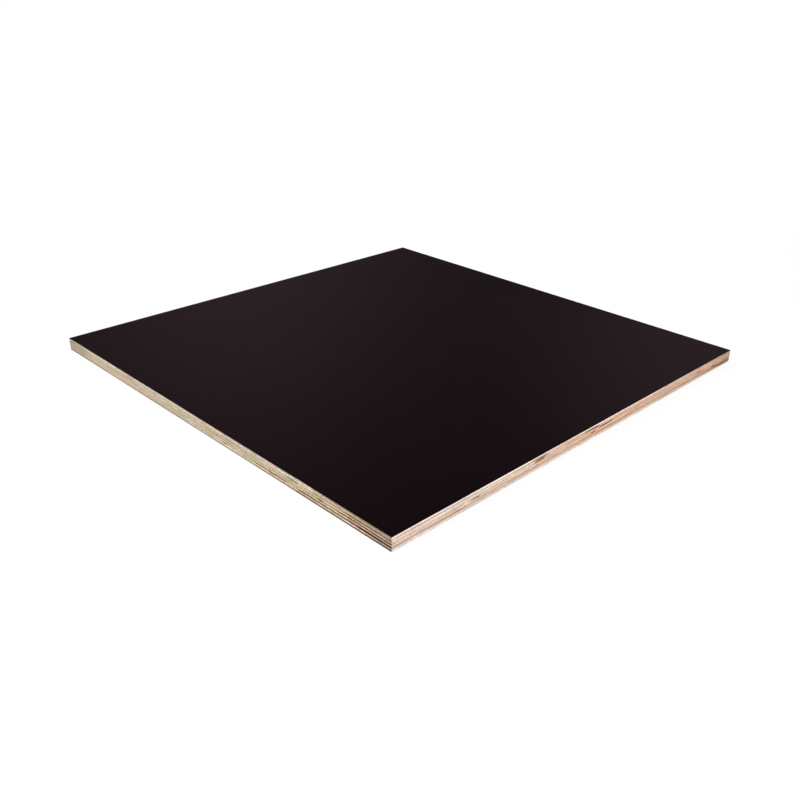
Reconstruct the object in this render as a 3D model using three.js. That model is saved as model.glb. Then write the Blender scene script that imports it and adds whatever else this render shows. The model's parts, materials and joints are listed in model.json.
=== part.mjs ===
// Film-faced birch plywood panel, 500 x 500 x 12.94 mm, lying flat with its four sawn edges bare.
//
// Nine rotary-cut veneers lie cross-banded between two phenolic films. The grain of the odd plies
// runs along X and that of the even plies along Y, so each ply shows long grain on one pair of edges
// and end grain on the other pair. Where the saw ran through a knot or a split in a veneer, the hole
// stays open in the edge.
//
// Millimetres, +Z up. The origin is at the middle of the underside, X runs along the front edge, and
// the plies are numbered from the underside up.

import * as THREE from "three";

// ---- driving dimensions ----
const PANEL_LENGTH = 500; // along X
const PANEL_WIDTH = 500; // along Y
const PLY_THICKNESS = 1.4; // one veneer, pressed and sanded
const FILM_THICKNESS = 0.17; // a 220 g/m2 film, pressed

const LEFT = -PANEL_LENGTH / 2;
const RIGHT = PANEL_LENGTH / 2;
const FRONT = -PANEL_WIDTH / 2;
const BACK = PANEL_WIDTH / 2;

// ---- lay-up ----
const PLIES = [
  { name: "ply_1_face", grain: "x" },
  { name: "ply_2_cross", grain: "y" },
  { name: "ply_3_long", grain: "x" },
  { name: "ply_4_cross", grain: "y" },
  { name: "ply_5_core", grain: "x" },
  { name: "ply_6_cross", grain: "y" },
  { name: "ply_7_long", grain: "x" },
  { name: "ply_8_cross", grain: "y" },
  { name: "ply_9_face", grain: "x" },
];

// ---- knot holes and splits that the saw opened ----
// Each is half an oval in one ply: its middle along the edge, its width along the edge and its depth
// into the panel. A hole is longest with the grain, so it reaches deep where the edge shows end grain
// and lies shallow where it shows long grain.
const HOLES = [
  { ply: "ply_7_long", edge: "left", middle: FRONT + 115, width: 12, depth: 9 },
  { ply: "ply_3_long", edge: "left", middle: FRONT + 158, width: 12, depth: 7 },
  { ply: "ply_3_long", edge: "left", middle: FRONT + 208, width: 4, depth: 5 },
  { ply: "ply_5_core", edge: "front", middle: LEFT + 91, width: 8, depth: 1 },
  { ply: "ply_8_cross", edge: "front", middle: LEFT + 247, width: 17, depth: 14 },
  { ply: "ply_5_core", edge: "front", middle: LEFT + 249, width: 6, depth: 1 },
  { ply: "ply_6_cross", edge: "front", middle: LEFT + 269, width: 19, depth: 12 },
  { ply: "ply_2_cross", edge: "front", middle: RIGHT - 18, width: 13, depth: 8 },
];
const ARC_STEPS = 12; // facets in half of a hole's outline

// ---- materials ----
const FILM = new THREE.MeshStandardMaterial({ color: "#20171a", roughness: 0.3, metalness: 0 });
const VENEER = {
  x: new THREE.MeshStandardMaterial({ color: "#d2b89a", roughness: 0.7, metalness: 0 }),
  y: new THREE.MeshStandardMaterial({ color: "#b99c7c", roughness: 0.75, metalness: 0 }),
};

// The height of the glue line with this many plies below it.
function glueLine(pliesBelow) {
  return FILM_THICKNESS + pliesBelow * PLY_THICKNESS;
}

// The holes in one edge of a layer, in the order in which the outline runs past them: direction is 1
// where it runs towards the right or the back, and -1 where it runs the other way.
function holesAlong(holes, edge, direction) {
  const found = holes.filter((hole) => hole.edge === edge);
  return found.sort((one, other) => direction * (one.middle - other.middle));
}

// The outline of one layer, anticlockwise from the front left corner, with its holes as bites.
function layerOutline(holes) {
  const outline = new THREE.Shape();
  outline.moveTo(LEFT, FRONT);
  for (const { middle, width, depth } of holesAlong(holes, "front", 1)) {
    outline.lineTo(middle - width / 2, FRONT);
    outline.absellipse(middle, FRONT, width / 2, depth, Math.PI, 0, true);
  }
  outline.lineTo(RIGHT, FRONT);
  outline.lineTo(RIGHT, BACK);
  outline.lineTo(LEFT, BACK);
  for (const { middle, width, depth } of holesAlong(holes, "left", -1)) {
    outline.lineTo(LEFT, middle + width / 2);
    outline.absellipse(LEFT, middle, depth, width / 2, Math.PI / 2, -Math.PI / 2, true);
  }
  outline.closePath();
  return outline;
}

// One flat layer between two heights. Its faces are set to those heights after the extrusion, so two
// layers that are glued together meet at exactly the same height.
function makeLayer(name, outline, low, high, material) {
  const geometry = new THREE.ExtrudeGeometry(outline, {
    depth: 1,
    bevelEnabled: false,
    curveSegments: ARC_STEPS / 2,
  });
  const position = geometry.getAttribute("position");
  for (let i = 0; i < position.count; i += 1) {
    position.setZ(i, position.getZ(i) > 0 ? high : low);
  }
  const layer = new THREE.Mesh(geometry, material);
  layer.name = name;
  return layer;
}

function makeFilms() {
  const outline = layerOutline([]);
  const top = glueLine(PLIES.length);
  return [
    makeLayer("film_bottom", outline, 0, glueLine(0), FILM),
    makeLayer("film_top", outline, top, top + FILM_THICKNESS, FILM),
  ];
}

function makePlies() {
  return PLIES.map(({ name, grain }, pliesBelow) => {
    const outline = layerOutline(HOLES.filter((hole) => hole.ply === name));
    return makeLayer(name, outline, glueLine(pliesBelow), glueLine(pliesBelow + 1), VENEER[grain]);
  });
}

const panel = new THREE.Group();
panel.name = "film_faced_plywood_panel";
panel.add(...makeFilms(), ...makePlies());

export default panel;
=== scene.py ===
"""Looks of the film-faced plywood panel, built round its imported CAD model. Blender 4.5.

Metres, +Z up, in the CAD model's frame: the front edge is at the lowest Y and the left edge at the
lowest X. A place on the panel's outline is its distance round it, from the front left corner along
the front, right, back and left edges. Plies are counted from the underside up: from 1 in names and
tables, and from 0 in the functions. A glue line's number is how many plies lie under it.
"""

import json
import math

import bpy
import numpy as np
from mathutils import Matrix, Vector

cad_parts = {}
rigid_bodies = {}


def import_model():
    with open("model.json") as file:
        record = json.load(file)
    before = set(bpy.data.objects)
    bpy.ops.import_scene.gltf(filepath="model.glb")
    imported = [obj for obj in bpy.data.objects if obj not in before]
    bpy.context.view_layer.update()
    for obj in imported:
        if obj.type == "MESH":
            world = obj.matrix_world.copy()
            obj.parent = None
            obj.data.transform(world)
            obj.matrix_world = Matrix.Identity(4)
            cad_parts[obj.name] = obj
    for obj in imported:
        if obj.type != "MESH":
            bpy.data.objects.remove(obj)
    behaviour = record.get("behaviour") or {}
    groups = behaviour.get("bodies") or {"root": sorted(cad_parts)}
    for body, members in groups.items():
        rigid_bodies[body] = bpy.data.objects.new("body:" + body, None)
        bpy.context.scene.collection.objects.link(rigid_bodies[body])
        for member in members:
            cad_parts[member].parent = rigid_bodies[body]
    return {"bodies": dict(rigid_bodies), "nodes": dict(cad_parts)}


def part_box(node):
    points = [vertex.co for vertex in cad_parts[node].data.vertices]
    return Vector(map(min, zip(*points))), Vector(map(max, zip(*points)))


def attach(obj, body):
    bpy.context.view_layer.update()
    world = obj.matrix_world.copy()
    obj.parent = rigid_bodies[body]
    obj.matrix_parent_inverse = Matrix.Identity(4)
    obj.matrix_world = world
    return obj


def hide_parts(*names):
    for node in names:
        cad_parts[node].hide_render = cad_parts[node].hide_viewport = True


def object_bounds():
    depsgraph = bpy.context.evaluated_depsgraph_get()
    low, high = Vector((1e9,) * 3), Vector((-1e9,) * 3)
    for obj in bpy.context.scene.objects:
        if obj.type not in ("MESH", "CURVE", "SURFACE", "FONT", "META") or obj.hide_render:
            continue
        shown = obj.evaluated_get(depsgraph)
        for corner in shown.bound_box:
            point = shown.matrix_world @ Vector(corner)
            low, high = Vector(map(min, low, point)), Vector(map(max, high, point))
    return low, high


MM = 0.001
NEARLY_ZERO = 1e-9  # metres; places closer together than this are the same place
UPWARDS, DOWNWARDS = 1, -1

# ---- the camera ----
CAMERA_PLACE = Vector((-0.6136, -0.62487, 0.38298))
CAMERA_AIM = Vector((0.62837, 0.6371, -0.44637))
CAMERA_ROLL = math.radians(0.885)
CAMERA_LENS = 39.955  # mm
SENSOR_WIDTH = 36.0  # mm
CAMERA_REACH = 200.0  # metres

# ---- the sawn edge ----
STATION_SPACING = 0.8 * MM  # between vertices round the outline
CORNER_STATIONS = (0.12 * MM, 0.3 * MM, 0.6 * MM)  # closer ones beside each corner
CLEAR_OF_CORNER = 1.2 * CORNER_STATIONS[-1]  # the even ones keep this far from a corner
CLEAR_OF_HOLE = STATION_SPACING / 4  # and this far from a hole
CORNER_WEAR = 0.22 * MM  # how far the upright corners are rubbed back
BITE_STEPS = 22  # vertices round a knot hole or split
CAP_INSET = 20 * MM  # the glued faces are plain inside this distance from the edge
CAP_STATIONS = 50  # on each side of that plain face
GLUE_HALF = 0.09 * MM  # a glue line's share of the ply on each side of it
GLUE_GROOVE = 0.05 * MM  # the saw leaves the glue line a little behind the wood
GLUE_WANDER = 0.10 * MM  # how far a glue line wanders up and down
END_GRAIN_DEPTH = 0.09 * MM  # end grain crumbles behind the line of the saw
LONG_GRAIN_DEPTH = 0.04 * MM

# ---- the films ----
FILM_ARRIS = 0.05 * MM  # how far the edge of the outer face is broken
GLUED_ARRIS = 0.4 * FILM_ARRIS
FILM_CHIP_COUNT = 46
FILM_CHIP_WIDTH = (0.4 * MM, 1.6 * MM)
FILM_CHIP_DEPTH = (0.05 * MM, 0.22 * MM)
FILM_GRID_INSET = 3 * MM
FILM_GRID_SIDE = 160  # cells along each side of the face
FILM_RIPPLE = 0.02 * MM  # how far the face dips under its highest level
RIPPLE_WAVES = 9
RIPPLE_LENGTHS = (60, 170)  # mm, the shortest and the longest wave
RIPPLE_RISE = 20 * MM  # inside the grid's rim, until the ripple has its full depth

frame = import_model()
cad_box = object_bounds()
BODY = next(iter(frame["bodies"]))
PANEL_LOW, PANEL_HIGH = cad_box
LEFT, FRONT = PANEL_LOW.x, PANEL_LOW.y
RIGHT, BACK = PANEL_HIGH.x, PANEL_HIGH.y
LENGTH, WIDTH = RIGHT - LEFT, BACK - FRONT
PERIMETER = 2 * (LENGTH + WIDTH)
PLIES = [name for name in frame["nodes"] if name.startswith("ply")]
PLIES.sort(key=lambda name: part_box(name)[0].z)
GLUE_LEVELS = [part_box(PLIES[0])[0].z] + [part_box(name)[1].z for name in PLIES]

EDGE_NAMES = ("front", "right", "back", "left")
SHOWN_EDGES = ("front", "left")  # the camera sees these; the marks on the other two are random
EDGE_LENGTHS = np.array([LENGTH, WIDTH, LENGTH, WIDTH])
EDGE_STARTS = np.array([0, LENGTH, LENGTH + WIDTH, 2 * LENGTH + WIDTH])
EDGE_CORNERS = np.array([[LEFT, FRONT], [RIGHT, FRONT], [RIGHT, BACK], [LEFT, BACK]])
EDGE_ALONG = np.array([[1, 0], [0, 1], [-1, 0], [0, -1]])
EDGE_INWARD = np.array([[0, 1], [-1, 0], [0, -1], [1, 0]])


# ---- ramps and drifts ----


def rise(distance, reach):
    """From 0, where there is no distance or less, evenly up to 1 at the full reach."""
    return np.clip(distance / reach, 0, 1)


def fade(distance, reach):
    """From 1, where there is no distance or less, evenly down to 0 at the full reach."""
    return 1 - rise(distance, reach)


def smooth(share):
    """The same share, from 0 to 1, with a gentle start and end."""
    return share * share * (3 - 2 * share)


def wander(places, wavelength, seed):
    """A smooth random value from -1 to 1 that closes on itself round the outline."""
    count = round(PERIMETER / wavelength)
    knots = np.random.default_rng(seed).uniform(-1, 1, count)
    at = places / PERIMETER * count
    first = np.floor(at).astype(int)
    share = smooth(at - first)
    return knots[first % count] * (1 - share) + knots[(first + 1) % count] * share


# ---- places round the outline ----


def edge_of(places):
    """The number of the edge that each place lies on."""
    return np.clip(np.searchsorted(EDGE_STARTS, places + NEARLY_ZERO, side="right") - 1, 0, 3)


def on_edge(places, name):
    """Whether each place lies on the edge of this name."""
    return edge_of(places) == EDGE_NAMES.index(name)


def from_corner(places):
    """The distance of each place from the nearest corner."""
    run = places[:, None] - np.append(EDGE_STARTS, PERIMETER)[None, :]
    return np.abs(run).min(axis=1)


def outline_points(places, inset):
    """Points at these places round the outline, moved inwards by an inset each; corners are mitred."""
    edge = edge_of(places)
    run = places - EDGE_STARTS[edge]
    points = EDGE_CORNERS[edge] + EDGE_ALONG[edge] * run[:, None]
    inward = EDGE_INWARD[edge].astype(float)
    corner = run < NEARLY_ZERO
    inward[corner] += EDGE_INWARD[edge[corner] - 1]
    return points + inward * np.broadcast_to(inset, places.shape)[:, None]


def inner_loop(inset, stations_per_side):
    """A rectangle inside the outline: the place that each of its points belongs to, and the points."""
    share = np.arange(stations_per_side) / stations_per_side
    places, points = [], []
    for edge, length in enumerate(EDGE_LENGTHS):
        start = EDGE_CORNERS[edge] + (EDGE_INWARD[edge] + EDGE_ALONG[edge]) * inset
        reach = length - 2 * inset
        places.append(EDGE_STARTS[edge] + share * length)
        points.append(start + EDGE_ALONG[edge] * (share * reach)[:, None])
    return np.concatenate(places), np.concatenate(points)


def corner_wear(places):
    """How far the rubbed upright corners stand back from the square outline."""
    return CORNER_WEAR * fade(from_corner(places), CORNER_STATIONS[-1]) ** 2


# ---- holes ----

CLEAR_OF_ENDS = 0.5 * MM  # a hole's mouth keeps farther than this from the ends of its edge
ON_EDGE = 0.01 * MM  # a vertex this near the line of an edge lies on it


class Bite:
    """A knot hole, split or chip that reaches in from the outline: half an oval."""

    def __init__(self, middle, half_width, depth):
        self.middle = middle
        self.half_width = half_width
        self.depth = depth

    def beyond(self, places):
        """How far each place lies outside the mouth; less than 0 inside it."""
        return np.abs(places - self.middle) - self.half_width

    def inset(self, places):
        """How deep the bite is at each place."""
        share = np.clip(1 - ((places - self.middle) / self.half_width) ** 2, 0, None)
        return self.depth * np.sqrt(share)

    def stations(self):
        """Places for the vertices of its wall, closer together towards the ends of the mouth."""
        turn = np.linspace(0, math.pi, BITE_STEPS)
        return self.middle - self.half_width * np.cos(turn)


def bites_of(node):
    """The holes in a CAD ply, read from its vertices: each mouth is a pair of points on an edge."""
    corners = np.array([vertex.co for vertex in frame["nodes"][node].data.vertices])[:, :2]
    found = []
    for edge, length in enumerate(EDGE_LENGTHS):
        offset = corners - EDGE_CORNERS[edge]
        run = offset @ EDGE_ALONG[edge]
        behind = offset @ EDGE_INWARD[edge]
        inside = (run > CLEAR_OF_ENDS) & (run < length - CLEAR_OF_ENDS)
        mouths = np.unique(run[inside & (behind < ON_EDGE)].round(6))
        for low, high in zip(mouths[::2], mouths[1::2]):
            within = (run > low) & (run < high) & (behind < length / 2)
            middle = EDGE_STARTS[edge] + (low + high) / 2
            found.append(Bite(middle, (high - low) / 2, behind[within].max()))
    return found


HOLES = [bites_of(node) for node in PLIES]


def total_inset(bites, places):
    """How deep these bites are together at each place."""
    return sum((bite.inset(places) for bite in bites), np.zeros(len(places)))


def stations(bites):
    """Places for the vertices of a layer's edge, closer together at its corners and holes."""
    marks = []
    for start, length in zip(EDGE_STARTS, EDGE_LENGTHS):
        run = np.linspace(0, length, round(length / STATION_SPACING), endpoint=False)
        clear = (run > CLEAR_OF_CORNER) & (run < length - CLEAR_OF_CORNER)
        beside = [0.0, *CORNER_STATIONS, *(length - offset for offset in CORNER_STATIONS)]
        marks.append(start + np.concatenate([run[clear], beside]))
    places = np.concatenate(marks)
    for bite in bites:
        places = places[np.abs(places - bite.middle) > bite.half_width + CLEAR_OF_HOLE]
        places = np.concatenate([places, bite.stations()])
    return np.sort(places)


# ---- mesh code ----

CAP_PLACES, CAP_POINTS = inner_loop(CAP_INSET, CAP_STATIONS)


class Sheet:
    """A mesh under construction: vertices, faces with a material each, and values at the vertices."""

    def __init__(self):
        self.points = []
        self.values = []
        self.faces = []
        self.materials = []
        self.count = 0

    def add_points(self, xy, z, **values):
        """Adds vertices and returns their numbers."""
        numbers = self.count + np.arange(len(xy))
        height = np.broadcast_to(z, len(xy))
        self.points.append(np.column_stack([xy, height]))
        self.values.append({key: np.broadcast_to(value, len(xy)) for key, value in values.items()})
        self.count += len(xy)
        return numbers

    def add_faces(self, faces, material=0):
        """Adds faces with one material, or with a list of one for each face."""
        self.faces.extend(faces)
        materials = material if isinstance(material, list) else [material] * len(faces)
        self.materials.extend(materials)

    def wall(self, low_row, high_row, material=0):
        """Quads between two closed rows of vertices, the second above the first."""
        corners = [low_row, np.roll(low_row, -1), np.roll(high_row, -1), high_row]
        self.add_faces(np.column_stack(corners).tolist(), material)

    def rim(self, outer_places, outer_row, inner_places, inner_row, facing, material=0):
        """Triangles between two closed rows of vertices on one level, matched by their places."""
        outer_ends = np.append(outer_places[1:], [outer_places[0] + PERIMETER, math.inf])
        inner_ends = np.append(inner_places[1:], [inner_places[0] + PERIMETER, math.inf])
        outer_row = outer_row.tolist()
        inner_row = inner_row.tolist()
        outer = inner = 0
        faces = []
        while outer < len(outer_row) or inner < len(inner_row):
            outer_corner = outer_row[outer % len(outer_row)]
            inner_corner = inner_row[inner % len(inner_row)]
            if outer_ends[outer] <= inner_ends[inner]:
                outer += 1
                faces.append([outer_corner, outer_row[outer % len(outer_row)], inner_corner])
            else:
                inner += 1
                faces.append([outer_corner, inner_row[inner % len(inner_row)], inner_corner])
        self.add_faces([face[::facing] for face in faces], material)

    def cap(self, places, row, level, facing, material=0, **values):
        """A flat face across the whole panel: a rim beside a row of vertices, and a plain middle."""
        inner_row = self.add_points(CAP_POINTS, level, **values)
        self.rim(places, row, CAP_PLACES, inner_row, facing, material)
        self.add_faces([inner_row[::facing].tolist()], material)

    def build(self, name, materials):
        """Makes the mesh and puts it in the scene."""
        mesh = bpy.data.meshes.new(name)
        mesh.from_pydata(np.concatenate(self.points).tolist(), [], self.faces)
        for material in materials:
            mesh.materials.append(material)
        mesh.polygons.foreach_set("material_index", self.materials)
        for key in self.values[0]:
            attribute = mesh.attributes.new(key, "FLOAT", "POINT")
            column = np.concatenate([value[key] for value in self.values])
            attribute.data.foreach_set("value", column.astype(np.float32))
        mesh.validate()
        mesh.update()
        piece = bpy.data.objects.new(name, mesh)
        bpy.context.scene.collection.objects.link(piece)
        return piece


# ---- material nodes ----


class Nodes:
    """A short way to write a node tree: each call adds one node and returns its output."""

    def __init__(self, tree):
        self.tree = tree
        tree.nodes.clear()

    def add(self, kind, settings=(), output=0, **inputs):
        """Adds a node; an input is named as it is in Blender, or by i and its number."""
        node = self.tree.nodes.new(kind)
        for key, value in dict(settings).items():
            setattr(node, key, value)
        for key, value in inputs.items():
            socket = node.inputs[int(key[1:]) if key[0] == "i" and key[1:].isdigit() else key]
            if isinstance(value, bpy.types.NodeSocket):
                self.tree.links.new(value, socket)
            else:
                socket.default_value = value
        return node.outputs[output]

    def math(self, operation, *terms, clamp=False):
        inputs = {f"i{number}": term for number, term in enumerate(terms)}
        settings = {"operation": operation, "use_clamp": clamp}
        return self.add("ShaderNodeMath", settings, **inputs)

    def vector_math(self, operation, output=0, **inputs):
        return self.add("ShaderNodeVectorMath", {"operation": operation}, output, **inputs)

    def mix(self, share, first, second, blend="MIX"):
        settings = {"data_type": "RGBA", "blend_type": blend}
        return self.add("ShaderNodeMix", settings, output=2, i0=share, i6=first, i7=second)

    def multiplied(self, colour, by):
        return self.mix(1.0, colour, by, "MULTIPLY")

    def colour(self, red, green, blue):
        return self.add("ShaderNodeCombineColor", i0=red, i1=green, i2=blue)

    def grey(self, value):
        return self.colour(value, value, value)

    def noise(self, vector, detail=2.0, roughness=0.5, output="Fac"):
        inputs = {"Detail": detail, "Roughness": roughness}
        return self.add("ShaderNodeTexNoise", output=output, Vector=vector, Scale=1.0, **inputs)

    def spread(self, value, low, high, to_low=0.0, to_high=1.0):
        """Spreads a value's range from low to high over another range, with soft ends."""
        settings = {"interpolation_type": "SMOOTHSTEP"}
        inputs = {"i0": value, "i1": low, "i2": high, "i3": to_low, "i4": to_high}
        return self.add("ShaderNodeMapRange", settings, **inputs)

    def spread_colour(self, colour, low, high, to_low, to_high):
        """The same for each channel of a colour."""
        settings = {"data_type": "FLOAT_VECTOR", "interpolation_type": "SMOOTHSTEP"}
        inputs = {"i6": colour, "i7": (low,) * 3, "i8": (high,) * 3, "i9": to_low, "i10": to_high}
        return self.add("ShaderNodeMapRange", settings, output="Vector", **inputs)

    def attribute(self, name):
        return self.add("ShaderNodeAttribute", {"attribute_name": name}, output="Fac")

    def place(self):
        return self.add("ShaderNodeTexCoord", output="Object")

    def panel_noise(self, waves, **settings):
        """A noise in the panel's own space, with these waves per metre along X, Y and Z."""
        return self.noise(self.vector_math("MULTIPLY", i0=self.place(), i1=waves), **settings)

    def bump(self, height, strength, depth):
        return self.add("ShaderNodeBump", Strength=strength, Distance=depth, Height=height)

    def surface(self, **inputs):
        """A principled surface; its inputs are named as in Blender, with _ for each space."""
        named = {key.replace("_", " "): value for key, value in inputs.items()}
        self.output(self.add("ShaderNodeBsdfPrincipled", **named))

    def output(self, shader, kind="ShaderNodeOutputMaterial"):
        end = self.tree.nodes.new(kind)
        self.tree.links.new(shader, end.inputs["Surface"])


def new_material(name):
    material = bpy.data.materials.new(name)
    material.use_nodes = True
    return material, Nodes(material.node_tree)


# ---- materials ----

BEIGE = (0.66, 0.58, 0.435, 1)
KHAKI = (0.585, 0.60, 0.365, 1)
ROSE = (0.79, 0.68, 0.675, 1)
ORANGE = (0.77, 0.50, 0.385, 1)
WHITE = (0.78, 0.75, 0.735, 1)  # the sanded face veneers
END_SHADE = (0.82, 0.78, 0.72, 1)  # sawn end grain against long grain
DARK_WOOD = (0.058, 0.026, 0.010, 1)
STAIN = (0.395, 0.262, 0.17)  # what a stain of 1 lets through
GRIMY = (0.71, 0.69, 0.65, 1)  # what the grime on a corner lets through
BARK, PALE_BARK = (0.52, 0.38, 0.25, 1), (0.66, 0.50, 0.36, 1)
GLUE_BROWN, GLUE_DUSTY = (0.05, 0.025, 0.013, 1), (0.30, 0.20, 0.12, 1)
SOAKED, PALE_SOAKED = (0.095, 0.027, 0.007, 1), (0.16, 0.055, 0.015, 1)
FILM_DEEP, FILM_WARM = (0.0025, 0.0010, 0.0014, 1), (0.0032, 0.0013, 0.0018, 1)

WOOD_IOR, RESIN_IOR = 1.45, 1.5
SAWN_SPECULAR = 0.15  # torn fibres hardly shine
FILM_ROUGHNESS = (0.15, 0.18)
LONG_GRAIN_ROUGHNESS = (0.6, 0.78)
END_GRAIN_ROUGHNESS = 0.8
HOLE_ROUGHNESS = 0.85
GLUE_ROUGHNESS = 0.7

# The noises on the sawn edge, in waves per metre along it and up it.
HUE_WAVES = (28, 450)
KHAKI_WAVES = (55, 90)
TINT_WAVES = (70, 400)
RING_WAVES = (22, 650)
TORN_WAVES = (500, 700)
FLECK_WAVES = (160, 900)
BLOTCH_WAVES = (60, 600)
STREAK_WAVES = (45, 3200)
PORE_WAVES = (2300, 2600)
CHECK_WAVES = (330, 260)
GLUE_WAVES = (300, 2000)
PLIES_APART = 7.31  # the step through the noise from one ply to the next

# The noises in the panel's own space, in waves per metre along X, Y and Z.
MOTTLE_WAVES = (9, 9, 9)
CAST_WAVES = (12, 420, 12)
BARK_WAVES = (700, 700, 3000)
SOAK_WAVES = (150, 150, 150)

# The part of a noise's range that is spread over a whole swing.
MIDDLE = (0.30, 0.70)
WIDER = (0.25, 0.75)
WIDEST = (0.20, 0.80)
KHAKI_SPAN = (0.30, 0.72)
GLUE_SPAN = (0.35, 0.70)
CHECK_SPAN = (0.90, 1.00)

HUE_SWING = 0.26
TINTS = (0.97, 0.99, 0.96), (1.04, 1.01, 1.05)
FIBRE_TONES = (1.13, 0.81)
RING_TONES = (1.14, 0.86)
TORN_TONES = (-0.28, 0.28)  # on top of the fibres' own
FLECK_DEPTHS = (1.3, 0.7)  # times the depth of a stain
BLOTCH_DEPTHS = (0.10, -0.02)
CHECK_SHARE = 0.5  # how much of the wood's colour a check hides


def edge_vector(nodes, along, up, apart=PLIES_APART):
    """A place on the sawn edge: along the outline and up, in waves per metre, apart for each ply."""
    run = nodes.math("MULTIPLY", nodes.attribute("run"), along)
    ply = nodes.math("MULTIPLY", nodes.attribute("ply"), apart)
    height = nodes.add("ShaderNodeSeparateXYZ", output=2, i0=nodes.place())
    return nodes.add("ShaderNodeCombineXYZ", i0=run, i1=ply, i2=nodes.math("MULTIPLY", height, up))


def edge_noise(nodes, waves, **settings):
    """A noise on the sawn edge, with these waves per metre along it and up it."""
    return nodes.noise(edge_vector(nodes, *waves), **settings)


def stained(nodes, colour, depth):
    """A colour seen through brown heartwood, bark or glue stain of this depth."""
    red, green, blue = (nodes.math("POWER", share, depth) for share in STAIN)
    return nodes.multiplied(colour, nodes.colour(red, green, blue))


def clean_wood(nodes):
    """Birch from beige through rose to orange, in patches, with greenish and whitish places; the extra
    rose and orange on the front edge and green on the left edge are partly painted warm and cool
    light.
    """
    swing = nodes.spread(edge_noise(nodes, HUE_WAVES), *MIDDLE, -HUE_SWING, HUE_SWING)
    # on the front edge the rose and orange shares are partly painted warm light
    rose = nodes.math("ADD", nodes.attribute("rose"), swing, clamp=True)
    orange = nodes.math("SUBTRACT", nodes.attribute("orange"), swing, clamp=True)
    patch = nodes.noise(edge_vector(nodes, *KHAKI_WAVES, apart=0.0), detail=3, roughness=0.6)
    # on the left edge the khaki share is partly painted cool light
    khaki = nodes.math("MULTIPLY", nodes.spread(patch, *KHAKI_SPAN), nodes.attribute("khaki"))
    colour = nodes.mix(orange, nodes.mix(rose, BEIGE, ROSE), ORANGE)
    colour = nodes.mix(khaki, colour, KHAKI)
    return nodes.mix(nodes.attribute("white"), colour, WHITE)


def wood_tint(nodes):
    """Small differences of hue from patch to patch."""
    tint = edge_noise(nodes, TINT_WAVES, detail=2, roughness=0.6, output="Color")
    return nodes.spread_colour(tint, *MIDDLE, *TINTS)


def wood_tone(nodes, fine):
    """How light the wood is: its fine fibres or pores, its torn fibres and its growth rings."""
    coarse = edge_noise(nodes, TORN_WAVES)
    torn = nodes.math("MULTIPLY", nodes.spread(coarse, *MIDDLE, *TORN_TONES), nodes.attribute("torn"))
    tone = nodes.spread(fine, *WIDER, *FIBRE_TONES)
    tone = nodes.math("MULTIPLY", tone, nodes.math("ADD", 1.0, torn))
    ring = edge_noise(nodes, RING_WAVES, detail=2, roughness=0.6)
    return nodes.math("MULTIPLY", tone, nodes.spread(ring, *MIDDLE, *RING_TONES))


def stain_depth(nodes):
    """How deep the stains are: flecked, with faint blotches everywhere."""
    fleck = edge_noise(nodes, FLECK_WAVES, detail=3, roughness=0.6)
    flecks = nodes.spread(fleck, *WIDER, *FLECK_DEPTHS)
    blotch = edge_noise(nodes, BLOTCH_WAVES, detail=3, roughness=0.6)
    blotches = nodes.spread(blotch, *MIDDLE, *BLOTCH_DEPTHS)
    return nodes.math("ADD", nodes.math("MULTIPLY", nodes.attribute("dark"), flecks), blotches)


def veneer_colour(nodes, fine):
    """Birch with its grain, its grime and its stains; fine is the noise of its fibres or pores."""
    colour = nodes.multiplied(clean_wood(nodes), wood_tint(nodes))
    colour = nodes.multiplied(colour, nodes.grey(wood_tone(nodes, fine)))
    colour = nodes.mix(nodes.attribute("grime"), colour, nodes.multiplied(colour, GRIMY))
    return stained(nodes, colour, stain_depth(nodes))


def sawn_surface(nodes, colour, roughness, **inputs):
    """Wood or glue as the saw left it."""
    nodes.surface(Base_Color=colour, Roughness=roughness, Specular_IOR_Level=SAWN_SPECULAR, **inputs)


def long_grain_material():
    """Sawn along the fibres: fine streaks that run with the edge."""
    material, nodes = new_material("long_grain")
    streak = edge_noise(nodes, STREAK_WAVES, detail=4, roughness=0.6)
    rough = nodes.spread(streak, *WIDEST, *LONG_GRAIN_ROUGHNESS)
    bump = nodes.bump(streak, strength=0.5, depth=0.05 * MM)
    sawn_surface(nodes, veneer_colour(nodes, streak), rough, IOR=WOOD_IOR, Normal=bump)
    return material


def knife_checks(nodes):
    """The slanted cracks that the peeling knife left in a veneer."""
    waves = {"wave_type": "BANDS", "bands_direction": "DIAGONAL"}
    shape = {"Scale": 1.0, "Distortion": 4.0, "Detail": 2.0}
    slant = edge_vector(nodes, *CHECK_WAVES)
    check = nodes.add("ShaderNodeTexWave", waves, output="Fac", Vector=slant, **shape)
    return nodes.spread(check, *CHECK_SPAN)


def end_grain_material():
    """Sawn across the fibres: darker and pored, with knife checks."""
    material, nodes = new_material("end_grain")
    pore = edge_noise(nodes, PORE_WAVES, detail=2, roughness=0.7)
    check = knife_checks(nodes)
    colour = nodes.multiplied(veneer_colour(nodes, pore), END_SHADE)
    colour = nodes.mix(nodes.math("MULTIPLY", check, CHECK_SHARE), colour, DARK_WOOD)
    bump = nodes.bump(nodes.math("SUBTRACT", pore, check), strength=0.7, depth=0.08 * MM)
    sawn_surface(nodes, colour, END_GRAIN_ROUGHNESS, IOR=WOOD_IOR, Normal=bump)
    return material


def glue_material():
    """Brown phenolic glue, in places smeared with wood dust."""
    material, nodes = new_material("glue_line")
    speck = nodes.spread(edge_noise(nodes, GLUE_WAVES, detail=3), *GLUE_SPAN)
    sawn_surface(nodes, nodes.mix(speck, GLUE_BROWN, GLUE_DUSTY), GLUE_ROUGHNESS, IOR=RESIN_IOR)
    return material


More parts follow.
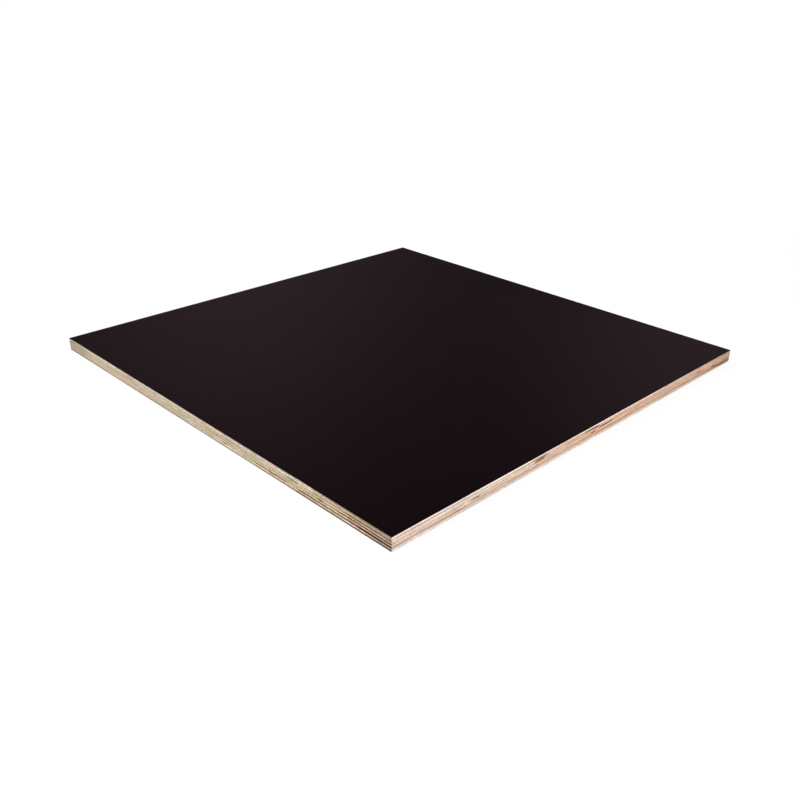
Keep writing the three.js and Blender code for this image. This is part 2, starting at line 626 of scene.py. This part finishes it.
def hole_material():
    """The wall of a knot hole: bark brown, fibrous and rough, paler where the split is shallow."""
    material, nodes = new_material("hole_wall")
    fibre = nodes.panel_noise(BARK_WAVES, detail=4, roughness=0.7)
    wood = nodes.mix(nodes.spread(fibre, *MIDDLE), BARK, PALE_BARK)
    colour = stained(nodes, wood, nodes.attribute("dark"))
    bump = nodes.bump(fibre, strength=0.8, depth=0.1 * MM)
    sawn_surface(nodes, colour, HOLE_ROUGHNESS, IOR=WOOD_IOR, Normal=bump)
    return material


def glued_face_material():
    """The flat of a veneer under its neighbour, which only a hole shows: wood soaked with glue."""
    material, nodes = new_material("glued_face")
    soak = nodes.spread(nodes.panel_noise(SOAK_WAVES, detail=4, roughness=0.6), *MIDDLE)
    sawn_surface(nodes, nodes.mix(soak, SOAKED, PALE_SOAKED), GLUE_ROUGHNESS, IOR=RESIN_IOR)
    return material


def film_material():
    """Phenolic film: near black, satin, with a faint cast of the veneer's grain under it."""
    material, nodes = new_material("film")
    mottle = nodes.spread(nodes.panel_noise(MOTTLE_WAVES, detail=3, roughness=0.5), *MIDDLE)
    cast = nodes.panel_noise(CAST_WAVES, detail=3, roughness=0.6)
    colour = nodes.mix(mottle, FILM_DEEP, FILM_WARM)
    rough = nodes.spread(cast, *WIDER, *FILM_ROUGHNESS)
    bump = nodes.bump(cast, strength=0.06, depth=0.02 * MM)
    nodes.surface(Base_Color=colour, Roughness=rough, IOR=RESIN_IOR, Normal=bump)
    return material


# ---- stains ----

FAINT, LIGHT, BROWN, DARK, BLACK = 0.2, 0.4, 0.7, 1.2, 2.6  # how deep a stain is
DEEPEST_STAIN = 3.5  # where stains lie on each other
SOFT_END = 6 * MM  # how gradually a stain ends

# The knots, heartwood and stains of the front and left edges: the edge and the ply, from and to in
# mm from the front left corner, and the depth.
STAINS = (
    ("left", 9, 0, 90, LIGHT),
    ("left", 8, 0, 60, FAINT),
    ("left", 7, 0, 50, DARK),
    ("left", 7, 50, 90, LIGHT),
    ("left", 7, 108, 122, DARK),
    ("left", 5, 0, 62, DARK),
    ("left", 5, 62, 85, LIGHT),
    ("left", 5, 78, 81, BLACK),
    ("left", 4, 0, 50, FAINT),
    ("left", 3, 0, 36, BLACK),
    ("left", 3, 36, 105, DARK),
    ("left", 3, 125, 170, DARK),
    ("left", 1, 0, 110, DARK),
    ("left", 1, 110, 165, BROWN),
    ("left", 1, 165, 500, LIGHT),
    ("front", 9, 430, 500, LIGHT),
    ("front", 8, 0, 162, FAINT),
    ("front", 8, 162, 182, BROWN),
    ("front", 7, 166, 178, DARK),
    ("front", 6, 166, 177, BROWN),
    ("front", 6, 315, 326, LIGHT),
    ("front", 6, 430, 439, BROWN),
    ("front", 5, 0, 75, LIGHT),
    ("front", 5, 315, 325, FAINT),
    ("front", 5, 425, 448, LIGHT),
    ("front", 4, 461, 469, DARK),
    ("front", 3, 0, 80, BROWN),
    ("front", 3, 80, 450, LIGHT),
    ("front", 3, 450, 500, BROWN),
    ("front", 2, 400, 468, FAINT),
    ("front", 2, 468, 495, BROWN),
)

# The random ones of the right and back edges.
HIDDEN_STAINS = 3  # in each ply, on each edge
HIDDEN_SEED = 300
HIDDEN_STARTS = (0, 480)  # mm
HIDDEN_SHORTEST, HIDDEN_LONGER = 6, 60  # mm; most are short
HIDDEN_DEPTHS = (0.15, 0.8)

# The bark round a knot hole.
BARK_REACH = 2.5 * MM
SHALLOW_BARK, DEEP_BARK = 0.1, 1.6  # how deep a stain it is, and how much deeper round a deep hole
DEEP_HOLE = 6 * MM


def stretch_share(places, edge, low, high, soft):
    """From 0 to 1: whether each place lies in a stretch of an edge, from low to high in mm.

    Its ends are soft, unless they lie at an end of the edge. Distances along the left edge count
    from the front left corner, and those along the others from the edge's start.
    """
    number = EDGE_NAMES.index(edge)
    length = EDGE_LENGTHS[number]
    run = PERIMETER - places if edge == "left" else places - EDGE_STARTS[number]
    low = low * MM if low > 0 else -soft
    high = high * MM if high * MM < length else length + soft
    share = np.clip(np.minimum(run - low, high - run) / soft + 0.5, 0, 1)
    return np.where(on_edge(places, edge), smooth(share), 0)


def shown_stains(ply, edge):
    """The stains of one ply on the front or left edge: from and to in mm, and the depth."""
    return [stain[2:] for stain in STAINS if stain[:2] == (edge, ply + 1)]


def hidden_stains(ply, edge):
    """Knots and streaks of one ply on the right or back edge."""
    random = np.random.default_rng(HIDDEN_SEED + 10 * ply + EDGE_NAMES.index(edge))
    stains = []
    for _ in range(HIDDEN_STAINS):
        start = random.uniform(*HIDDEN_STARTS)
        length = HIDDEN_SHORTEST + HIDDEN_LONGER * random.uniform(0, 1) ** 3
        stains.append((start, start + length, random.uniform(*HIDDEN_DEPTHS)))
    return stains


# ---- colour round the outline ----

# The front edge's larger shares of rose and orange are partly painted warm light on that side.
FRONT_WARMS = (70 * MM, 250 * MM)  # from here to there the front edge turns from rose to orange
FRONT_ROSE_AND_WARM_LIGHT = (0.95, 0.25)  # the share of rose before and after that; on the front edge partly painted warm light
FRONT_ORANGE_AND_WARM_LIGHT = (-0.2, 0.95)  # less than 0 leaves hardly a patch of it; on the front edge partly painted warm light
OTHER_ROSE = 0.25  # on the other three edges
# the left edge's small share of orange is partly painted cool light on that side
LEFT_ORANGE, HIDDEN_ORANGE = 0.10, 0.40
KHAKI_AND_COOL_LIGHT_SHARES = (0.16, 0.40, 0.40, 0.85)  # on the front, right, back and left edges; the large share on the left edge is partly painted cool light
KHAKI_AND_COOL_LIGHT_REACH = 50 * MM  # this far along the left edge the greenish patches, partly painted cool light, have their full share
TORN_SHARES = (0.5, 1.0, 1.0, 1.0)  # on the front, right, back and left edges
WHITE_SHARES = {  # by ply: on the front edge, and on the others
    9: (0.60, 0.90),
    8: (0.30, 0.35),
    3: (0.20, 0.00),
    2: (0.70, 0.45),
    1: (0.85, 0.45),
}
GRIME_REACH = 50 * MM  # handling greys the edges this near the corners
ROSE_END = 60 * MM  # the front edge turns back to rose this near its right end
ROSE_END_SHARE = 0.5  # how much more rose it is there

LOWER_PLIES = (1, 2, 3)
LESS_ORANGE = 0.12  # how much less orange they are, all along the front edge
RED_FROM, RED_RISE = 462 * MM, 20 * MM  # where the front edge turns redder, towards its right end
RED_ORANGE = 0.35  # how much more orange they are there
RED_OVER_WHITE = 0.7  # the share of their white that it takes away

UPPER_PLIES = (5, 6, 7, 8, 9)
PALE_CORNER = 60 * MM  # on the left edge they turn paler this near the front left corner
PALE_ROSE, PALE_WHITE = 0.15, 0.5  # how much more rose they are at that corner, and how white

# How a value drifts along a ply: how far, its wavelength, and the seed of the lowest ply.
STAIN_DRIFT = (0.10, 110 * MM, 320)
FINE_STAIN_DRIFT = (0.04, 18 * MM, 340)
ROSE_DRIFT = (0.15, 45 * MM, 360)
ORANGE_DRIFT = (0.12, 60 * MM, 380)


def drift(places, number, swing, wavelength, first_seed):
    """What wanders along a ply or glue line of this number."""
    return swing * wander(places, wavelength, first_seed + number)


def red_end(ply, places):
    """From 0 to 1: the redder end of the front edge, in the lower plies."""
    if ply + 1 not in LOWER_PLIES:
        return np.zeros(len(places))
    return on_edge(places, "front") * rise(places - RED_FROM, RED_RISE)


def pale_corner(ply, places):
    """From 0 to 1: the whiter end of the left edge, in the upper plies."""
    if ply + 1 not in UPPER_PLIES:
        return np.zeros(len(places))
    return on_edge(places, "left") * fade(PERIMETER - places, PALE_CORNER)


def rose_and_warm_light_share(ply, places):
    """How much rose there is: the wood's own, most at the two ends of the front edge, and on that edge
    partly painted warm light.
    """
    on_front = on_edge(places, "front")
    rose = np.where(on_front, np.interp(places, FRONT_WARMS, FRONT_ROSE_AND_WARM_LIGHT), OTHER_ROSE)
    rose = rose + drift(places, ply, *ROSE_DRIFT)
    rose = rose + ROSE_END_SHARE * on_front * fade(LENGTH - places, ROSE_END)
    return rose + PALE_ROSE * pale_corner(ply, places)


def orange_and_warm_light_share(ply, places):
    """How much orange there is: the wood's own, most on the right of the front edge, and on that edge
    partly painted warm light.
    """
    on_front = on_edge(places, "front")
    on_others = np.where(on_edge(places, "left"), LEFT_ORANGE, HIDDEN_ORANGE)
    orange = np.where(on_front, np.interp(places, FRONT_WARMS, FRONT_ORANGE_AND_WARM_LIGHT), on_others)
    orange = orange + drift(places, ply, *ORANGE_DRIFT)
    if ply + 1 in LOWER_PLIES:
        orange = orange - LESS_ORANGE * on_front
    return orange + RED_ORANGE * red_end(ply, places)


def khaki_and_cool_light_share(places):
    """How strong the greenish patches are: the wood's own, and on the left edge partly painted cool
    light.
    """
    khaki = np.take(KHAKI_AND_COOL_LIGHT_SHARES, edge_of(places))
    from_front = rise(PERIMETER - places, KHAKI_AND_COOL_LIGHT_REACH)
    return khaki * np.where(on_edge(places, "left"), from_front, 1)


def white_share(ply, places):
    """How white the wood is: the face veneers most."""
    white = np.where(on_edge(places, "front"), *WHITE_SHARES.get(ply + 1, (0, 0)))
    white = np.maximum(white, PALE_WHITE * pale_corner(ply, places))
    return white * (1 - RED_OVER_WHITE * red_end(ply, places))


def grime_share(places):
    """The corners are grimy, but the left half of the front edge is clean."""
    return np.where(places < LENGTH / 2, 0, fade(from_corner(places), GRIME_REACH))


def stain_depths(ply, places, bites):
    """A faint drift, the ply's own stains, and the bark round its holes."""
    depth = drift(places, ply, *STAIN_DRIFT) + drift(places, ply, *FINE_STAIN_DRIFT)
    for edge in EDGE_NAMES:
        stains = shown_stains(ply, edge) if edge in SHOWN_EDGES else hidden_stains(ply, edge)
        for low, high, deep in stains:
            depth += deep * stretch_share(places, edge, low, high, SOFT_END)
    for bite in bites:
        bark = SHALLOW_BARK + DEEP_BARK * min(1, bite.depth / DEEP_HOLE)
        depth += bark * fade(bite.beyond(places), BARK_REACH)
    return np.clip(depth, 0, DEEPEST_STAIN)


def edge_values(ply, places, bites):
    """The values at the vertices that a veneer's colour is made from."""
    return {
        "run": places,
        "ply": ply,
        "rose": rose_and_warm_light_share(ply, places),
        "orange": orange_and_warm_light_share(ply, places),
        "khaki": khaki_and_cool_light_share(places),
        "white": white_share(ply, places),
        "grime": grime_share(places),
        "torn": np.take(TORN_SHARES, edge_of(places)),
        "dark": stain_depths(ply, places, bites),
    }


# ---- glue lines ----

# Where a glue line sags between veneers of uneven thickness: the edge and the line, from and to in mm
# from the front left corner, and the drop in mm, which is less than 0 where the line rises.
SAGS = (
    ("front", 8, 0, 320, 0.2),
    ("front", 7, 0, 320, 0.2),
    ("front", 7, 238, 262, 0.35),
    ("front", 6, 258, 280, -0.35),
    ("front", 5, 84, 98, 0.25),
    ("front", 4, 84, 98, -0.25),
    ("left", 7, 90, 148, 0.7),
    ("left", 6, 90, 148, 0.3),
    ("left", 5, 20, 45, -0.3),
    ("left", 4, 20, 45, -0.5),
    ("left", 3, 12, 46, -0.5),
)
SOFT_SAG = 25 * MM  # how gradually a sag ends
BULGE = 0.18 * MM  # how far the press pushes the veneers above and below into a hole
BULGE_REACH = 8 * MM

# How a line drifts up and down: its share of GLUE_WANDER, its wavelength, and the seed of line 0.
LINE_DRIFT = (1.0, 90 * MM, 500)
FINE_LINE_DRIFT = (0.5, 22 * MM, 600)


def glue_line(line, places):
    """The height of a glue line round the outline; the lines against the films stay level."""
    level = GLUE_LEVELS[line]
    if line in (0, len(PLIES)):
        return np.full(len(places), level)
    wandering = drift(places, line, *LINE_DRIFT) + drift(places, line, *FINE_LINE_DRIFT)
    height = level + GLUE_WANDER * wandering
    for edge, sagging_line, low, high, drop in SAGS:
        if sagging_line == line:
            height -= stretch_share(places, edge, low, high, SOFT_SAG) * drop * MM
    for ply, way in ((line, UPWARDS), (line - 1, DOWNWARDS)):
        for hole in HOLES[ply]:
            height += way * BULGE * fade(hole.beyond(places), BULGE_REACH)
    return height


# ---- veneers ----

LONG_GRAIN, END_GRAIN, GLUE, HOLE_WALL, GLUED_FACE = range(5)  # the order of a veneer's materials
MIDDLE_ROWS = (0.25, 0.50, 0.75)  # rows of vertices up the edge, as shares of the ply's thickness
RELIEF_SEED = 700
SLOW_RELIEF_SEED = 800
SLOW_RELIEF_WAVE = 6 * MM
ROUGH_SHARE = 0.6  # how much of the grain's depth is rough where the wood is sound
HOLE_ROUGH_SHARE = 2  # and in a hole


def row_heights(ply, places):
    """The rows of vertices up a ply's edge, from one glue line's middle to the next one's."""
    low, high = glue_line(ply, places), glue_line(ply + 1, places)
    middle = [low + (high - low) * share for share in MIDDLE_ROWS]
    return [low, low + GLUE_HALF, *middle, high - GLUE_HALF, high]


def row_relief(ply, row, places, rough, in_glue):
    """How far a row stands back from the line of the saw: rough, and slowly varying."""
    seed = SLOW_RELIEF_SEED + 10 * ply + row
    slow = LONG_GRAIN_DEPTH * (0.5 + 0.5 * wander(places, SLOW_RELIEF_WAVE, seed))
    return GLUE_GROOVE + slow if in_glue else ROUGH_SHARE * rough + slow


def add_sawn_edge(sheet, ply, places, end_grain):
    """The edge of a ply with its glue lines, relief and holes; returns its lowest and highest row."""
    bites = HOLES[ply]
    bite_inset = total_inset(bites, places)
    in_hole = bite_inset > 0
    wear = corner_wear(places)
    values = edge_values(ply, places, bites)
    random = np.random.default_rng(RELIEF_SEED + ply)
    depth = np.where(end_grain, END_GRAIN_DEPTH, LONG_GRAIN_DEPTH)
    heights = row_heights(ply, places)
    last = len(heights) - 1
    rows = []
    for row, height in enumerate(heights):
        rough = depth * random.uniform(0, 1, len(places))
        relief = row_relief(ply, row, places, rough, in_glue=row in (0, last))
        relief = np.where(in_hole, HOLE_ROUGH_SHARE * rough, relief)
        xy = outline_points(places, bite_inset + relief + wear)
        rows.append(sheet.add_points(xy, height, **values))
    wood = np.where(end_grain, END_GRAIN, LONG_GRAIN)
    hole_wall = in_hole | np.roll(in_hole, -1)
    for row in range(last):
        kinds = GLUE if row in (0, last - 1) else wood
        sheet.wall(rows[row], rows[row + 1], np.where(hole_wall, HOLE_WALL, kinds).tolist())
    return rows[0], rows[last]


def make_veneer(ply, node, materials):
    """One veneer: its sawn edge and its two glued faces."""
    along_x = ply % 2 == 0
    places = stations(HOLES[ply])
    edge_along_x = EDGE_ALONG[edge_of(places), 0] != 0
    sheet = Sheet()
    low_row, high_row = add_sawn_edge(sheet, ply, places, end_grain=edge_along_x != along_x)
    values = edge_values(ply, CAP_PLACES, [])
    sheet.cap(places, low_row, GLUE_LEVELS[ply], DOWNWARDS, GLUED_FACE, **values)
    sheet.cap(places, high_row, GLUE_LEVELS[ply + 1], UPWARDS, GLUED_FACE, **values)
    piece = sheet.build(node.replace("ply_", "veneer_"), materials)
    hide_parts(node)
    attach(piece, BODY)
    return piece


# ---- films ----


def film_chips(seed):
    """Small chips that the saw broke from a film's edge."""
    random = np.random.default_rng(seed)
    middles = random.uniform(0, PERIMETER, FILM_CHIP_COUNT)
    widths = random.uniform(*FILM_CHIP_WIDTH, FILM_CHIP_COUNT)
    depths = random.uniform(*FILM_CHIP_DEPTH, FILM_CHIP_COUNT)
    return [Bite(*chip) for chip in zip(middles, widths / 2, depths)]


def ripple(xy, seed):
    """How far a film's face dips at each point: broad, shallow waves, level at the rim."""
    random = np.random.default_rng(seed)
    dip = np.zeros(len(xy))
    for _ in range(RIPPLE_WAVES):
        angle = random.uniform(0, math.pi)
        length = random.uniform(*RIPPLE_LENGTHS) * MM
        phase = random.uniform(0, 2 * math.pi)
        run = xy @ np.array([math.cos(angle), math.sin(angle)])
        dip += np.sin(2 * math.pi * run / length + phase)
    x, y = xy.T
    from_edge = np.minimum.reduce([x - LEFT, RIGHT - x, y - FRONT, BACK - y])
    depth = FILM_RIPPLE * rise(from_edge - FILM_GRID_INSET, RIPPLE_RISE)
    return depth * (0.5 + 0.5 * dip / RIPPLE_WAVES)


def add_rippled_face(sheet, places, row, level, outward, seed):
    """A film's outer face: a grid that ripples, and a strip from its rim to the film's edge."""
    side = FILM_GRID_SIDE + 1
    x = np.linspace(LEFT + FILM_GRID_INSET, RIGHT - FILM_GRID_INSET, side)
    y = np.linspace(FRONT + FILM_GRID_INSET, BACK - FILM_GRID_INSET, side)
    xy = np.stack(np.meshgrid(x, y), axis=-1).reshape(-1, 2)
    grid = sheet.add_points(xy, level - outward * ripple(xy, seed)).reshape(side, side)
    corners = np.stack([grid[:-1, :-1], grid[:-1, 1:], grid[1:, 1:], grid[1:, :-1]], axis=-1)
    sheet.add_faces(corners.reshape(-1, 4)[:, ::outward].tolist())
    grid_rim = np.concatenate([grid[0, :-1], grid[:-1, -1], grid[-1, :0:-1], grid[:0:-1, 0]])
    rim_places, _ = inner_loop(FILM_GRID_INSET, FILM_GRID_SIDE)
    sheet.rim(places, row, rim_places, grid_rim, outward)


def make_film(node, outward, seed, material):
    """One film: a rippled outer face, a thin chipped edge and a plain glued face."""
    low, high = (corner.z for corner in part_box(node))
    levels = [low, (low + high) / 2, high]
    arrises = [GLUED_ARRIS, 0.0, FILM_ARRIS][::outward]
    places = stations([])
    chips = total_inset(film_chips(seed), places)
    wear = corner_wear(places)

    sheet = Sheet()
    rows = []
    for level, arris in zip(levels, arrises):
        rows.append(sheet.add_points(outline_points(places, chips + wear + arris), level))
    for low_row, high_row in zip(rows, rows[1:]):
        sheet.wall(low_row, high_row)
    glued, outer = [(rows[0], low), (rows[-1], high)][::outward]
    add_rippled_face(sheet, places, *outer, outward, seed)
    sheet.cap(places, *glued, -outward)

    piece = sheet.build(node + "_skin", [material])
    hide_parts(node)
    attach(piece, BODY)
    return piece


# ---- the floor ----

FLOOR_GAP = 0.1 * MM
FLOOR_RINGS = (0.5, 1.0, 2.0, 5.0, 15.0, 60.0)  # metres from the middle
FLOOR_SIDES = 96
FLOOR_COLOUR = (0.80, 0.80, 0.80, 1)
PURE_WHITE = (1, 1, 1, 1)
FLOOR_GLOW = 0.88  # beside the panel, how much of the floor the camera sees as plain white
FLOOR_FADE = (0.45, 1.1)  # metres from the middle, until it sees all of it as plain white


def floor_mesh():
    """A large disc of rings round its middle, just under the panel."""
    turns = np.linspace(0, 2 * math.pi, FLOOR_SIDES, endpoint=False)
    points = [(0, 0, -FLOOR_GAP)]
    for radius in FLOOR_RINGS:
        points += [(radius * math.cos(t), radius * math.sin(t), -FLOOR_GAP) for t in turns]
    number = 1 + np.arange(len(FLOOR_RINGS) * FLOOR_SIDES).reshape(-1, FLOOR_SIDES)
    following = np.roll(number, -1, axis=1)
    faces = [(0, here, after) for here, after in zip(number[0].tolist(), following[0].tolist())]
    corners = np.stack([number[:-1], number[1:], following[1:], following[:-1]], axis=-1)
    faces += corners.reshape(-1, 4).tolist()
    mesh = bpy.data.meshes.new("floor")
    mesh.from_pydata(points, [], faces)
    return mesh


def floor_material():
    """A pale floor that takes the panel's shadow; to the camera and in gloss it is nearly white."""
    material, nodes = new_material("floor")
    path = nodes.add("ShaderNodeLightPath").node.outputs
    seen = nodes.math("MAXIMUM", path["Is Camera Ray"], path["Is Glossy Ray"])
    seen = nodes.math("MAXIMUM", seen, path["Is Transmission Ray"])
    away = nodes.vector_math("LENGTH", "Value", i0=nodes.place())
    glow = nodes.math("MULTIPLY", seen, nodes.spread(away, *FLOOR_FADE, FLOOR_GLOW, 1.0))
    plain = nodes.add("ShaderNodeBsdfDiffuse", Color=FLOOR_COLOUR)
    white = nodes.add("ShaderNodeEmission", Color=PURE_WHITE, Strength=1.0)
    nodes.output(nodes.add("ShaderNodeMixShader", i0=glow, i1=plain, i2=white))
    return material


def make_floor():
    mesh = floor_mesh()
    mesh.materials.append(floor_material())
    floor = bpy.data.objects.new("floor", mesh)
    bpy.context.scene.collection.objects.link(floor)


# ---- lamps ----

LAMPS = (  # name, place and aim in metres, size in metres, watts, colour
    ("key_left", (-1.1, 0.35, 0.9), (-0.2, 0.05, 0), 0.9, 11.9, (1.0, 0.99, 0.95)),
    ("key_front", (-0.4, -1.15, 0.9), (-0.05, -0.1, 0), 0.9, 20.9, (1.0, 0.98, 0.95)),
    ("fill_back", (0.95, 0.95, 0.7), (0.1, 0.1, 0), 1.2, 22.0, (1.0, 0.99, 0.96)),
)


def make_lamp(name, place, aim, size, watts, colour):
    """A round soft box, which the satin film doesn't mirror as a white disc."""
    data = bpy.data.lights.new(name, "AREA")
    data.shape = "DISK"
    data.size = size
    data.energy = watts
    data.color = colour
    lamp = bpy.data.objects.new(name, data)
    lamp.location = place
    lamp.rotation_mode = "QUATERNION"
    lamp.rotation_quaternion = (Vector(aim) - Vector(place)).to_track_quat("-Z", "Y")
    lamp.visible_glossy = False
    bpy.context.scene.collection.objects.link(lamp)


# ---- the world ----

STUDIO_TINT = (1.0, 0.69, 0.79)
AMBIENT = 0.031
SOFT_BOXES = (  # azimuth from +X and elevation in degrees, sharpness, strength
    (57, 22, 50.0, 0.100),
    (25, 24, 80.0, 0.116),
)
OVERHEAD = 0.8
OVERHEAD_RISE = (48.0, 75.0)  # degrees above the horizon
HORIZON_FADE = (1.5, 5.0)  # degrees above the horizon


def soft_box(nodes, way, azimuth, elevation, sharpness, strength):
    """The light of a soft box far off, brightest at its middle."""
    turn, lift = math.radians(azimuth), math.radians(elevation)
    middle = (math.cos(turn) * math.cos(lift), math.sin(turn) * math.cos(lift), math.sin(lift))
    along = nodes.vector_math("DOT_PRODUCT", "Value", i0=way, i1=middle)
    power = nodes.math("MULTIPLY", nodes.math("SUBTRACT", along, 1.0), sharpness)
    return nodes.math("MULTIPLY", nodes.math("EXPONENT", power), strength)


def studio_light(nodes, way, degrees):
    """A dim studio with faint soft boxes, and a soft light overhead."""
    light = AMBIENT
    for box in SOFT_BOXES:
        light = nodes.math("ADD", soft_box(nodes, way, *box), light)
    dim = nodes.vector_math("SCALE", i0=STUDIO_TINT, Scale=light)
    overhead = nodes.spread(degrees, *OVERHEAD_RISE, 0.0, OVERHEAD)
    return nodes.vector_math("ADD", i0=dim, i1=nodes.grey(overhead))


def seen_as_white(nodes, degrees):
    """The camera sees white all round, and gloss sees it near the horizon."""
    path = nodes.add("ShaderNodeLightPath").node.outputs
    gloss = nodes.math("MAXIMUM", path["Is Glossy Ray"], path["Is Transmission Ray"])
    gloss = nodes.math("MULTIPLY", gloss, nodes.spread(degrees, *HORIZON_FADE, 1.0, 0.0))
    return nodes.math("MAXIMUM", path["Is Camera Ray"], gloss)


def make_world():
    """Soft light from all round and above, which the camera itself sees as plain white."""
    world = bpy.data.worlds.new("studio")
    bpy.context.scene.world = world
    world.use_nodes = True
    nodes = Nodes(world.node_tree)
    way = nodes.add("ShaderNodeTexCoord", output="Generated")
    upward = nodes.add("ShaderNodeSeparateXYZ", output=2, i0=way)
    degrees = nodes.math("MULTIPLY", nodes.math("ARCSINE", upward), 180 / math.pi)
    light = studio_light(nodes, way, degrees)
    colour = nodes.mix(seen_as_white(nodes, degrees), light, PURE_WHITE)
    background = nodes.add("ShaderNodeBackground", Color=colour, Strength=1.0)
    nodes.output(background, "ShaderNodeOutputWorld")


# ---- the scene ----


def make_camera():
    data = bpy.data.cameras.new("camera")
    data.lens = CAMERA_LENS
    data.sensor_width = SENSOR_WIDTH
    data.clip_end = CAMERA_REACH
    camera = bpy.data.objects.new("camera", data)
    level = CAMERA_AIM.to_track_quat("-Z", "Y").to_matrix()
    turned = level @ Matrix.Rotation(CAMERA_ROLL, 3, "Z")
    camera.matrix_world = Matrix.Translation(CAMERA_PLACE) @ turned.to_4x4()
    bpy.context.scene.collection.objects.link(camera)
    bpy.context.scene.camera = camera


make_camera()
make_floor()
make_world()
for lamp in LAMPS:
    make_lamp(*lamp)

wood = [
    long_grain_material(),
    end_grain_material(),
    glue_material(),
    hole_material(),
    glued_face_material(),
]
for ply_number, ply_node in enumerate(PLIES):
    make_veneer(ply_number, ply_node, wood)
film = film_material()
make_film("film_bottom", DOWNWARDS, seed=11, material=film)
make_film("film_top", UPWARDS, seed=12, material=film)

bpy.context.scene.view_settings.view_transform = "Standard"
